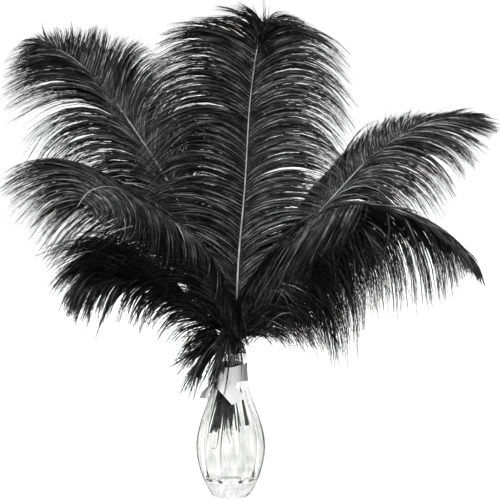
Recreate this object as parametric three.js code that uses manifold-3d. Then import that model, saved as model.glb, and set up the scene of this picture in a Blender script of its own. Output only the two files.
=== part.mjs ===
// Six black-dyed ostrich plumes standing in a small fluted glass bud vase with a satin ribbon at its neck.
// Millimetres, +Z up, +X to the right, the front towards -Y.
// The origin is the centre of the flat base that the vase stands on.

import * as THREE from "three";
import { mergeVertices } from "three/addons/utils/BufferGeometryUtils.js";
import Module from "manifold-3d";

const wasm = await Module();
wasm.setup();

// ---------- driving dimensions ----------

const VASE_HEIGHT = 143;
const BASE_RADIUS = 18;
const BELLY_RADIUS = 34;
const NECK_RADIUS = 15;
const CAVITY_FLOOR = 15;
const FLUTES = 12;
const OUTER_FLUTE_DEPTH = 0.5;
const INNER_FLUTE_DEPTH = 0.7;
// The flutes fade from this height up to a share of their depth at the lip.
const FLUTE_FADE_START = 90;
const FLUTE_SHARE_LOST_AT_LIP = 0.8;

const RIBBON_WIDTH = 16;
const RIBBON_THICKNESS = 0.6;
const RIBBON_LOW_EDGE = 113;
const RIBBON_CLEARANCE = 0.5;
const KNOT_HALF_SIZE = [4.5, 2.6, 6];
const KNOT_CENTRE = [-9.6, -16.5, 120];
const KNOT_TURN = THREE.MathUtils.degToRad(-30);

const QUILL_RADIUS = 1.5;
const SHAFT_HALF_THICKNESS = 1.1;
const VANE_HALF_THICKNESS = 0.3;
// Along a vane, from 0 at its root to 1 at its end: full reach by the first, narrowing from the second.
const VANE_OPEN_BY = 0.4;
const VANE_NARROWS_FROM = 0.7;
const VANE_NARROWING = 0.9;

// Mesh fineness.
const VASE_SEGMENTS = 48;
const VANE_STATIONS = 26;
const TAIL_STATIONS = 8;

// ---------- materials ----------

const glass = new THREE.MeshStandardMaterial({
  color: 0xf2f5f5,
  roughness: 0.05,
  metalness: 0,
  transparent: true,
  opacity: 0.35,
});
const satin = new THREE.MeshStandardMaterial({ color: 0xe4e4e2, roughness: 0.45, metalness: 0 });
const plumage = new THREE.MeshStandardMaterial({ color: 0x141414, roughness: 0.65, metalness: 0 });

// ---------- shared helpers ----------

const vector = ([x, y, z]) => new THREE.Vector3(x, y, z);

// A closed skin over rings of equal point counts, with a flat cap at each end.
// The rings run anticlockwise when seen from the end that the loft grows towards, and each goes out
// along one face of a thin sheet and back along the other. The second half's quads are split along
// the other diagonal, so that the two faces of a twisted sheet stay parallel and never cross.
function loft(rings) {
  const count = rings[0].length;
  const positions = rings.flat().flatMap((p) => p.toArray());
  const index = [];
  for (let row = 0; row + 1 < rings.length; row++) {
    for (let i = 0; i < count; i++) {
      const a = row * count + i;
      const b = row * count + ((i + 1) % count);
      if (i < count / 2) {
        index.push(a, b, b + count, a, b + count, a + count);
      } else {
        index.push(a, b, a + count, b, b + count, a + count);
      }
    }
  }
  const last = (rings.length - 1) * count;
  for (let i = 1; i + 1 < count; i++) {
    index.push(0, i + 1, i);
    index.push(last, last + i, last + i + 1);
  }
  const geometry = new THREE.BufferGeometry();
  geometry.setAttribute("position", new THREE.Float32BufferAttribute(positions, 3));
  geometry.setIndex(index);
  return geometry;
}

// A three.js geometry as a manifold-3d solid, and back.
function toSolid(geometry) {
  const bare = geometry.clone();
  bare.deleteAttribute("normal");
  bare.deleteAttribute("uv");
  const merged = mergeVertices(bare, 1e-3);
  const vertProperties = merged.attributes.position.array;
  const triVerts = new Uint32Array(merged.index.array);
  return new wasm.Manifold(new wasm.Mesh({ numProp: 3, vertProperties, triVerts }));
}

function toGeometry(solid) {
  const { vertProperties, triVerts } = solid.getMesh();
  const geometry = new THREE.BufferGeometry();
  geometry.setAttribute("position", new THREE.Float32BufferAttribute(vertProperties, 3));
  geometry.setIndex([...triVerts]);
  geometry.computeVertexNormals();
  return geometry;
}

function namedMesh(name, geometry, material) {
  const mesh = new THREE.Mesh(geometry, material);
  mesh.name = name;
  return mesh;
}

// ---------- the vase ----------

// Outer wall as [radius, height], from the rim of the base to the lip.
const OUTER_WALL = new THREE.SplineCurve(
  [
    [BASE_RADIUS, 0],
    [24.5, 10],
    [30, 25],
    [BELLY_RADIUS, 50],
    [29.5, 75],
    [20.5, 98],
    [15.8, 112],
    [NECK_RADIUS, 127],
    [NECK_RADIUS + 0.2, VASE_HEIGHT],
  ].map(([r, z]) => new THREE.Vector2(r, z)),
);

// Inner wall, from the lip down to the rim of the cavity's floor.
const INNER_WALL = new THREE.SplineCurve(
  [
    [NECK_RADIUS - 1.8, VASE_HEIGHT],
    [NECK_RADIUS - 2, 127],
    [13.6, 112],
    [18, 98],
    [26.6, 75],
    [31, 50],
    [26.5, 25],
    [19, CAVITY_FLOOR],
  ].map(([r, z]) => new THREE.Vector2(r, z)),
);

// The outer wall's radius at a height, found along its spline.
const OUTER_WALL_POINTS = OUTER_WALL.getPoints(200);
function radiusOfWall(height) {
  return OUTER_WALL_POINTS.find((p) => p.y >= height - 1e-6)?.x ?? NECK_RADIUS;
}

function vaseGeometry() {
  const outer = OUTER_WALL.getPoints(16);
  const inner = INNER_WALL.getPoints(14);
  const axisLow = new THREE.Vector2(0, 0);
  const axisFloor = new THREE.Vector2(0, CAVITY_FLOOR);
  const profile = [axisLow, ...outer, ...inner, axisFloor];
  const geometry = new THREE.LatheGeometry(profile, VASE_SEGMENTS);
  geometry.rotateX(Math.PI / 2);

  // Soft vertical flutes swell between the base and the neck and fade towards the lip.
  const position = geometry.attributes.position;
  const point = new THREE.Vector3();
  for (let i = 0; i < position.count; i++) {
    point.fromBufferAttribute(position, i);
    const radius = Math.hypot(point.x, point.y);
    const onFlatBase = point.z < 0.01;
    if (radius < 1 || onFlatBase) continue;
    const angle = Math.atan2(point.y, point.x);
    const onInnerWall = radius < radiusOfWall(point.z) - 1;
    const depth = onInnerWall ? INNER_FLUTE_DEPTH : OUTER_FLUTE_DEPTH;
    const risen = THREE.MathUtils.smoothstep(point.z, FLUTE_FADE_START, VASE_HEIGHT);
    const fade = 1 - FLUTE_SHARE_LOST_AT_LIP * risen;
    const scale = (radius + depth * fade * Math.cos(FLUTES * angle)) / radius;
    position.setXY(i, point.x * scale, point.y * scale);
  }
  geometry.computeVertexNormals();
  return geometry;
}

// ---------- the ribbon ----------

// The band lies on the neck just clear of the glass.
function bandSolid() {
  const rows = 4;
  const inside = [];
  const outside = [];
  for (let i = 0; i <= rows; i++) {
    const height = RIBBON_LOW_EDGE + (RIBBON_WIDTH * i) / rows;
    const radius = radiusOfWall(height) + OUTER_FLUTE_DEPTH + RIBBON_CLEARANCE;
    inside.push(new THREE.Vector2(radius, height));
    outside.push(new THREE.Vector2(radius + RIBBON_THICKNESS, height));
  }
  const profile = [...outside, ...inside.reverse(), outside[0]];
  const geometry = new THREE.LatheGeometry(profile, VASE_SEGMENTS);
  geometry.rotateX(Math.PI / 2);
  return toSolid(geometry);
}

// One hanging end of the bow: a flat strip along a route, as wide as the ribbon.
function tailSolid(route, across) {
  const curve = new THREE.CatmullRomCurve3(route.map(vector));
  const side = vector(across).normalize();
  const rings = [];
  for (let i = 0; i <= TAIL_STATIONS; i++) {
    const centre = curve.getPointAt(i / TAIL_STATIONS);
    const along = curve.getTangentAt(i / TAIL_STATIONS);
    const out = new THREE.Vector3().crossVectors(along, side).normalize();
    const corner = (a, b) =>
      centre
        .clone()
        .addScaledVector(side, (a * RIBBON_WIDTH) / 2)
        .addScaledVector(out, (b * RIBBON_THICKNESS) / 2);
    rings.push([corner(-1, -1), corner(1, -1), corner(1, 1), corner(-1, 1)]);
  }
  return toSolid(loft(rings));
}

function ribbonGeometry() {
  const knot = new THREE.SphereGeometry(1, 16, 10);
  knot.scale(...KNOT_HALF_SIZE);
  knot.rotateZ(KNOT_TURN);
  knot.translate(...KNOT_CENTRE);
  const rightTail = tailSolid([[-9, -18.6, 119.5], [-1, -21, 108], [8, -23.5, 97.5]], [0.85, 0.2, 0.35]);
  const leftTail = tailSolid([[-12, -17, 119.5], [-19, -19.5, 112], [-25, -19.5, 100]], [0.5, -0.7, 0.3]);
  const ribbon = bandSolid().add(toSolid(knot)).add(rightTail).add(leftTail);
  return toGeometry(ribbon);
}

// ---------- the feathers ----------

// A feather is one thin closed body: a round quill that opens into two drooping vanes.
// quill: its cut end, and where it leaves the vase.
// shaft: points along the middle from there to the ends of the last barbs.
// vaneFrom: how far along the whole feather the vane starts, 0 to 1.
// left, right: the reach of each vane from the shaft to its barb tips, at the vane's root and at its end.
// arch: how far a vane bows up between the shaft and its edge, as a share of its reach.
function featherGeometry({ quill, shaft, vaneFrom, left, right, arch }) {
  const route = [...quill, ...shaft].map(vector);
  const curve = new THREE.CatmullRomCurve3(route, false, "centripetal");
  const sides = [left, right].map(([root, tip]) => [vector(root), vector(tip)]);
  const rings = [];
  for (let i = 0; i <= VANE_STATIONS; i++) {
    const along = i / VANE_STATIONS;
    const centre = curve.getPointAt(along);
    const tangent = curve.getTangentAt(along);
    const vane = THREE.MathUtils.clamp((along - vaneFrom) / (1 - vaneFrom), 0, 1);
    const opening = THREE.MathUtils.smoothstep(vane, 0, VANE_OPEN_BY);
    const narrowed = THREE.MathUtils.smoothstep(vane, VANE_NARROWS_FROM, 1);
    const closing = Math.sqrt(1 - VANE_NARROWING * narrowed);
    const spread = opening * closing;

    // Each reach is squared up to the shaft, so that neighbouring sections never cross.
    const [leftReach, rightReach] = sides.map(([root, tip]) => {
      const reach = root.clone().lerp(tip, vane);
      return reach.addScaledVector(tangent, -reach.dot(tangent));
    });
    const up = new THREE.Vector3().crossVectors(
      rightReach.clone().normalize().sub(leftReach.clone().normalize()),
      tangent,
    ).normalize();
    const across = new THREE.Vector3().crossVectors(tangent, up).normalize();

    const halfWidth = QUILL_RADIUS * (1 - 0.5 * vane);
    const place = (reach, sign, q) =>
      centre
        .clone()
        .addScaledVector(across, sign * q * halfWidth)
        .addScaledVector(reach, q * spread)
        .addScaledVector(up, arch * Math.sin(Math.PI * q) * reach.length() * spread);
    // Half the thickness: a round quill below the vane, then a shaft between two thin sheets.
    const flattened = Math.min(1, spread * 6);
    const thickness = (q) => {
      const quillHalf = QUILL_RADIUS * Math.sqrt(1 - 0.8 * q * q);
      const vaneHalf = q === 0 ? SHAFT_HALF_THICKNESS : VANE_HALF_THICKNESS;
      return THREE.MathUtils.lerp(quillHalf, vaneHalf, flattened);
    };
    const spine = [
      [place(leftReach, -1, 1), thickness(1)],
      [place(leftReach, -1, 0.5), thickness(0.5)],
      [centre, thickness(0)],
      [place(rightReach, 1, 0.5), thickness(0.5)],
      [place(rightReach, 1, 1), thickness(1)],
    ];
    const above = spine.map(([p, h]) => p.clone().addScaledVector(up, h));
    const below = spine.map(([p, h]) => p.clone().addScaledVector(up, -h));
    rings.push([...above, ...below.reverse()]);
  }
  return loft(rings);
}

// Each quill crosses the neck in a lane of its own, and its feather leans away from its foot.
const FEATHERS = {
  feather_centre: {
    quill: [[-4, 4.6, 62], [4, 5.2, 146]],
    shaft: [[8, 10, 230], [14, 13, 300], [19, 9, 382], [27, -2, 438], [36, -14, 465]],
    vaneFrom: 0.22,
    left: [[-85, 0, 10], [-95, -12, -25]],
    right: [[95, 4, 15], [80, -12, -30]],
    arch: 0.08,
  },
  feather_upper_left: {
    quill: [[13, 8.2, 66], [-5, 9.6, 146]],
    shaft: [
      [-25, 26, 216], [-54, 42, 287], [-90, 52, 345],
      [-125, 55, 392], [-160, 48, 424], [-195, 36, 434],
    ],
    vaneFrom: 0.23,
    left: [[-95, -10, -50], [-60, -25, -75]],
    right: [[30, 25, 50], [25, 25, 25]],
    arch: 0.08,
  },
  feather_upper_right: {
    quill: [[-13, 0.8, 66], [7, 1.2, 146]],
    shaft: [
      [30, -3, 200], [64, -7, 252], [100, -10, 296], [140, -14, 338],
      [180, -20, 363], [212, -26, 369], [246, -34, 360],
    ],
    vaneFrom: 0.26,
    left: [[-15, 4, 45], [30, 12, 12]],
    right: [[80, 0, -35], [35, -8, -30]],
    arch: 0.08,
  },
  feather_lower_right: {
    quill: [[-17, -6, 62], [5, -7, 146]],
    shaft: [
      [20, -20, 190], [45, -46, 241], [78, -78, 283], [117, -108, 300],
      [155, -135, 298], [187, -157, 285], [210, -168, 264], [224, -176, 238],
    ],
    vaneFrom: 0.26,
    left: [[-70, -40, -70], [-40, -45, -40]],
    right: [[50, 25, -80], [45, 50, -40]],
    arch: 0.1,
  },
  feather_lower_left: {
    quill: [[9, -9.4, 64], [1, -10.8, 146]],
    shaft: [
      [-1, -18, 180], [-10, -36, 226], [-34, -55, 263], [-65, -77, 291],
      [-106, -106, 316], [-125, -118, 313], [-136, -122, 298],
    ],
    vaneFrom: 0.28,
    left: [[-90, 30, 0], [-95, 40, -20]],
    right: [[15, -55, -50], [-10, -50, -50]],
    arch: 0.1,
  },
  feather_bottom_left: {
    quill: [[4, -2.6, 64], [-8, -3, 146]],
    shaft: [
      [-22, -10, 174], [-48, -18, 197], [-80, -27, 214],
      [-105, -34, 219], [-130, -40, 212], [-155, -48, 195],
    ],
    vaneFrom: 0.36,
    left: [[-10, 25, 4], [-10, 25, -10]],
    right: [[10, -20, -60], [5, -25, -45]],
    arch: 0.08,
  },
};

// ---------- assembly ----------

const bouquet = new THREE.Group();
bouquet.add(namedMesh("vase", vaseGeometry(), glass));
bouquet.add(namedMesh("neck_ribbon", ribbonGeometry(), satin));
for (const [name, feather] of Object.entries(FEATHERS)) {
  bouquet.add(namedMesh(name, featherGeometry(feather), plumage));
}

export default bouquet;
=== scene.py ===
"""Black-dyed ostrich plumes in a fluted glass bud vase with a satin ribbon round its neck."""

import math

import bmesh
import bpy
import numpy as np
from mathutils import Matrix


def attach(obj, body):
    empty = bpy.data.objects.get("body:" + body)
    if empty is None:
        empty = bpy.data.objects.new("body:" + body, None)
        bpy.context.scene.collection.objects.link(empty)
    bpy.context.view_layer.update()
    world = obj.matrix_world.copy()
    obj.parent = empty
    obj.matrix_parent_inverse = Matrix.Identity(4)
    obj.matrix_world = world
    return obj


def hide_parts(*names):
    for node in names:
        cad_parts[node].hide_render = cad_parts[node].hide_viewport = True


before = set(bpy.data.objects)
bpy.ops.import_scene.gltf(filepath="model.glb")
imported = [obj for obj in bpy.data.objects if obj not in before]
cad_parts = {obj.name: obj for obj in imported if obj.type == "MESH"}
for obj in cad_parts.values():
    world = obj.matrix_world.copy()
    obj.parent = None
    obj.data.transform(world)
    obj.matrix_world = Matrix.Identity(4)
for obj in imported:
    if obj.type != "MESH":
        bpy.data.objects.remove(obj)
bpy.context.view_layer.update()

MM = 0.001
RNG_SEED = 20
UP = np.array([0.0, 0.0, 1.0])


# ---------- camera ----------

CAMERA_AIM = (0.0187, 0.0, 0.240)
CAMERA_DISTANCE = 2.0
CAMERA_ELEVATION = math.radians(10)
SENSOR_WIDTH = 36.0
FRAME_WIDTH = 0.475


def make_camera():
    camera = bpy.data.cameras.new("camera")
    camera.sensor_width = SENSOR_WIDTH
    camera.lens = SENSOR_WIDTH * CAMERA_DISTANCE / FRAME_WIDTH
    camera.clip_end = 100
    stand = bpy.data.objects.new("camera", camera)
    x, y, z = CAMERA_AIM
    back = CAMERA_DISTANCE * math.cos(CAMERA_ELEVATION)
    stand.location = (x, y - back, z + CAMERA_DISTANCE * math.sin(CAMERA_ELEVATION))
    stand.rotation_euler = (math.pi / 2 - CAMERA_ELEVATION, 0, 0)
    bpy.context.scene.collection.objects.link(stand)
    bpy.context.scene.camera = stand


# ---------- materials ----------

def feed(tree, node, inputs):
    """Link each input to its socket, or set it to its value."""
    for name, value in inputs.items():
        if isinstance(value, bpy.types.NodeSocket):
            tree.links.new(value, node.inputs[name])
        else:
            node.inputs[name].default_value = value


def add_node(tree, kind, inputs=None, **settings):
    node = tree.nodes.new("ShaderNode" + kind)
    for name, value in settings.items():
        setattr(node, name, value)
    feed(tree, node, inputs or {})
    return node


def add_ramp(tree, factor, stops):
    """A colour ramp through stops of position and colour, first to last."""
    node = add_node(tree, "ValToRGB", {"Fac": factor})
    ramp = node.color_ramp.elements
    for end, (position, colour) in ((ramp[0], stops[0]), (ramp[1], stops[-1])):
        end.position = position
        end.color = colour
    for position, colour in stops[1:-1]:
        ramp.new(position).color = colour
    return node.outputs["Color"]


def add_math(tree, operation, *values):
    node = add_node(tree, "Math", dict(enumerate(values)), operation=operation)
    return node.outputs["Value"]


def axes_of(tree, vector):
    return add_node(tree, "SeparateXYZ", {"Vector": vector}).outputs


def bake_map_of(tree):
    return add_node(tree, "UVMap", uv_map="OFBake").outputs["UV"]


def noise_over(tree, place, scale, detail):
    stretch = add_node(tree, "Mapping", {"Scale": scale, "Vector": place})
    stretched = stretch.outputs["Vector"]
    noise = add_node(tree, "TexNoise", {"Scale": 1, "Detail": detail, "Vector": stretched})
    return noise.outputs["Fac"]


def grey(tone, blue=1.0):
    return (tone, tone, tone * blue, 1)


def new_material(name):
    material = bpy.data.materials.new(name)
    material.use_nodes = True
    tree = material.node_tree
    tree.nodes.clear()
    shader = add_node(tree, "BsdfPrincipled")
    output = add_node(tree, "OutputMaterial", {"Surface": shader.outputs["BSDF"]})
    output.name = "Material Output"
    return material, tree, shader


def barb_material():
    """Black-dyed keratin with painted light: some barbs are painted grey as a sheen, as if they take the
    light, while their neighbours stay black; each lock is painted lighter along its middle and darker at
    its edges.
    """
    material, tree, shader = new_material("black_barbs")
    place = bake_map_of(tree)
    turns = add_math(tree, "MULTIPLY", axes_of(tree, place)["X"], LOCKS_ON_MAP)
    across = add_math(tree, "FRACT", turns)
    # Painted light: each lock is lighter along its middle, a painted highlight on its crown, and darker
    # at its edges, painted shade between locks.
    crown = add_ramp(tree, across, [
        (0, grey(0)), (0.28, grey(0.12)), (0.5, grey(1)), (0.72, grey(0.12)), (1, grey(0)),
    ])
    streaks = noise_over(tree, place, (0.9 * LOCKS_ON_MAP, 5, 1), 1)
    fluff = noise_over(tree, place, (7 * LOCKS_ON_MAP, 160, 1), 0)
    both = add_node(tree, "Mix", {"Factor": 0.35, "A": streaks, "B": fluff})
    light = add_math(tree, "MULTIPLY_ADD", crown, 0.3, both.outputs["Result"])
    # The darkest stops are the feather's dyed black; the grey and pale upper stops are painted sheen and
    # highlights.
    dye_and_painted_sheen = add_ramp(tree, light, [
        (0.45, (0.0015, 0.0015, 0.0016, 1)), (0.6, grey(0.009, 1.02)), (0.74, grey(0.08, 1.02)),
        (0.9, (0.22, 0.22, 0.223, 1)),
    ])
    gloss = add_node(tree, "MapRange", {"To Min": 0.4, "To Max": 0.75, "Value": streaks})
    feed(tree, shader, {
        "Base Color": dye_and_painted_sheen, "Roughness": gloss.outputs["Result"], "Specular IOR Level": 0.2,
    })
    return material


def shaft_material(name, axis, dark_at, pale_at):
    """The horny shaft, glossier than the barbs: dyed black at the quill, and from dark_at to pale_at
    along one axis its base colour is painted paler in grainy streaks, a painted highlight.
    """
    material, tree, shader = new_material(name)
    place = add_node(tree, "TexCoord").outputs["Object"]
    grain = add_node(tree, "TexNoise", {"Scale": 90, "Detail": 3, "Vector": place})
    # Painted highlight: the base colour turns from black towards grey from dark_at to pale_at along the
    # axis.
    painted_highlight_share = add_node(tree, "MapRange", {
        "From Min": dark_at, "From Max": pale_at, "Value": axes_of(tree, place)[axis],
    })
    pale = add_math(tree, "MULTIPLY", grain.outputs["Fac"], painted_highlight_share.outputs["Result"])
    tone = add_ramp(tree, pale, [(0, (0.004, 0.004, 0.0041, 1)), (0.7, (0.42, 0.42, 0.424, 1))])
    feed(tree, shader, {"Base Color": tone, "Roughness": 0.32})
    return material


def glass_material():
    """Clear pressed glass: soft grey streaks run up its walls, partly the glass's own colour and partly
    painted reflection of darker surroundings, and its thick foot is seedy.
    """
    material, tree, shader = new_material("clear_fluted_glass")
    place = add_node(tree, "TexCoord").outputs["Object"]
    streaks = noise_over(tree, place, (260, 260, 14), 3)
    # Grey streaks: partly the glass's own colour, partly painted reflection and refraction of darker
    # surroundings; the foot is left clear.
    walls = add_ramp(tree, streaks, [(0.34, (0.64, 0.645, 0.64, 1)), (0.62, (0.88, 0.885, 0.88, 1))])
    foot = add_node(tree, "MapRange", {
        "From Min": 0.021, "From Max": 0.011, "To Min": 0.02, "To Max": 1,
        "Value": axes_of(tree, place)["Z"],
    }).outputs["Result"]
    tint_and_painted_reflection = add_node(tree, "Mix", {"Factor": foot, "A": walls, "B": grey(1)}, data_type="RGBA")
    seeds = noise_over(tree, place, (210, 210, 120), 2)
    ripple = add_node(tree, "Bump", {
        "Strength": 0.3, "Distance": 0.001, "Height": add_math(tree, "MULTIPLY", seeds, foot),
    })
    feed(tree, shader, {
        "Base Color": tint_and_painted_reflection.outputs["Result"], "Roughness": 0.02, "IOR": 1.45,
        "Transmission Weight": 1, "Normal": ripple.outputs["Normal"],
    })
    return material


def satin_material():
    """White satin: a fine ribbed weave, with brighter selvedges."""
    material, tree, shader = new_material("white_satin")
    place = bake_map_of(tree)
    selvedge = (0.92, 0.92, 0.915, 1)
    edge = add_ramp(tree, axes_of(tree, place)["X"], [
        (0, selvedge), (0.07, grey(0.62)), (0.12, grey(0.68)), (0.5, grey(0.66)), (0.88, grey(0.68)),
        (0.93, grey(0.62)), (1, selvedge),
    ])
    cloudy = noise_over(tree, place, (3, 14, 1), 2)
    mottle = add_node(
        tree, "Mix", {"Factor": 0.18, "A": edge, "B": cloudy},
        data_type="RGBA", blend_type="MULTIPLY",
    )
    ribs = noise_over(tree, place, (12, 900, 1), 1)
    weave = add_node(tree, "Bump", {"Strength": 0.25, "Distance": 0.0002, "Height": ribs})
    feed(tree, shader, {
        "Base Color": mottle.outputs["Result"], "Roughness": 0.38, "Sheen Weight": 0.25,
        "Normal": weave.outputs["Normal"],
    })
    return material
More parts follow.
